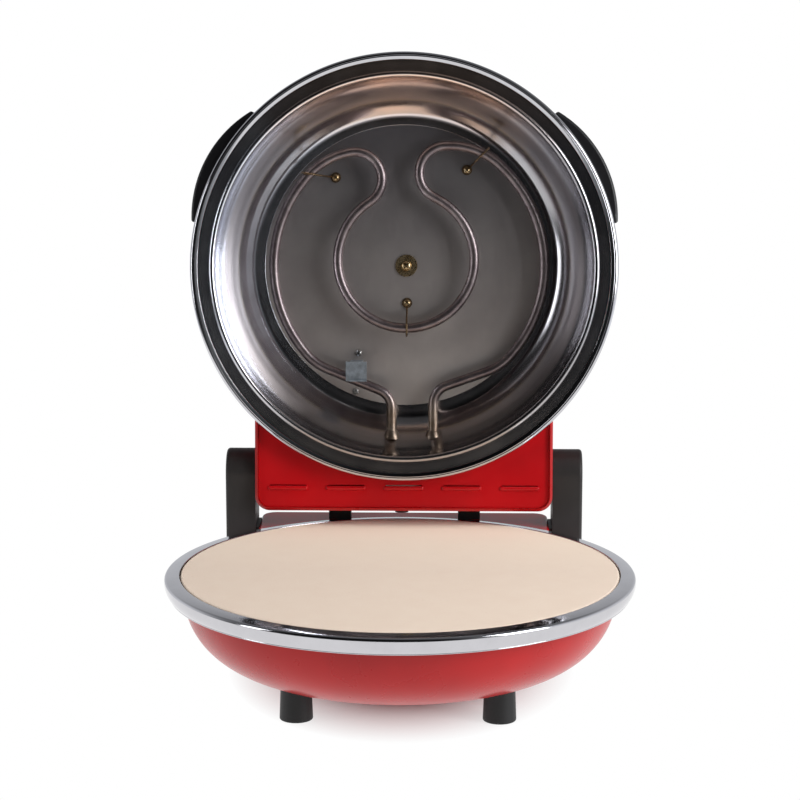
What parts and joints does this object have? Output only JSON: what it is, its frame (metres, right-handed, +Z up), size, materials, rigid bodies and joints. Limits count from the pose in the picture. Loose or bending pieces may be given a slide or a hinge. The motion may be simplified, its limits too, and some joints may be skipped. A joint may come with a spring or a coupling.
{
  "type": "countertop pizza oven",
  "caption": "Round clamshell pizza oven with a hinged domed lid, a heating element in each half, a baking stone in the base and dials on the lid.",
  "frame": {"origin": "centre of the bounding box at the undersides of the feet, where the oven stands", "axes": "+Z up, -Y towards the user, +X to the user's right, along the lid's hinge; the lid stands open against its stop at rest"},
  "size_m": [0.3534, 0.4225, 0.4702],
  "materials": {
    "cordierite_stone": "matt",
    "chromed_trim": "polished",
    "red_enamel": "gloss",
    "bright_reflector": "polished",
    "dark_ceiling": "satin",
    "heater_sheath": "satin",
    "steel_tray": "satin",
    "cover_sheet": "semi-gloss",
    "galvanised_cover": "satin",
    "charcoal_moulding": "matt",
    "black_moulding": "satin",
    "black_gloss_moulding": "gloss",
    "brass_hardware": "satin",
    "zinc_hardware": "satin",
    "clip_wire": "satin",
    "sensor_sheet": "satin",
    "insulation_felt": "matt",
    "terminal_ceramic": "matt",
    "foot_rubber": "matt",
    "lamp_red": "gloss",
    "lamp_green": "gloss",
    "wire_sleeve": "matt",
    "control_case": "matt"
  },
  "bodies": {
    "base": {"pizza_stone": "cordierite_stone", "base_rim_ring": "chromed_trim", "base_tray": "steel_tray", "base_bowl": "red_enamel", "base_rear_housing": "red_enamel", "base_rear_cover": "galvanised_cover", "base_insulation": "insulation_felt", "lower_element": "heater_sheath", "lower_element_clips": "zinc_hardware", "lower_clip_screws": "zinc_hardware", "lower_terminals": "terminal_ceramic", "foot_pads": "foot_rubber", "foot_screws": "zinc_hardware", "hinge_arm_left": "charcoal_moulding", "hinge_arm_right": "charcoal_moulding", "arm_screws": "zinc_hardware", "hinge_pins": "zinc_hardware"},
    "lid": {"lid_rim_band": "chromed_trim", "lid_reflector": "bright_reflector", "ceiling_plate": "dark_ceiling", "centre_washer": "brass_hardware", "centre_screw": "zinc_hardware", "centre_nut": "zinc_hardware", "upper_element": "heater_sheath", "upper_terminals": "terminal_ceramic", "element_clips": "clip_wire", "clip_screws": "brass_hardware", "sensor_tab": "sensor_sheet", "sensor_screws": "zinc_hardware", "lid_dome": "red_enamel", "lid_rear_housing": "red_enamel", "lid_rear_cover": "cover_sheet", "lid_insulation": "insulation_felt", "thermostat_body": "control_case", "timer_body": "control_case", "control_panel": "black_moulding", "pilot_lamp_red": "lamp_red", "pilot_lamp_green": "lamp_green", "side_grip_left": "black_moulding", "side_grip_right": "black_moulding", "grip_screws": "zinc_hardware", "hinge_hub_left": "charcoal_moulding", "hinge_hub_right": "charcoal_moulding", "inlet_gland": "black_moulding", "lid_stop_pads": "foot_rubber", "terminal_block": "terminal_ceramic", "lid_wiring": "wire_sleeve"},
    "thermostat_dial": {"thermostat_knob": "black_gloss_moulding", "thermostat_spindle": "zinc_hardware"},
    "timer_dial": {"timer_knob": "black_gloss_moulding", "timer_spindle": "zinc_hardware"}
  },
  "joints": [
    {"name": "lid_hinge", "type": "hinge", "parent": "base", "child": "lid", "pos_m": [0, 0.13335, 0.1296], "axis": [1, 0, 0], "range_deg": [0, 96]},
    {"name": "thermostat_turn", "type": "hinge", "parent": "lid", "child": "thermostat_dial", "pos_m": [-0.039, 0.19442, 0.20453], "axis": [0, 0.9945, -0.1045], "range_deg": [0, 270]},
    {"name": "timer_turn", "type": "hinge", "parent": "lid", "child": "timer_dial", "pos_m": [0.039, 0.19442, 0.20453], "axis": [0, 0.9945, -0.1045], "range_deg": [0, 300]}
  ]
}
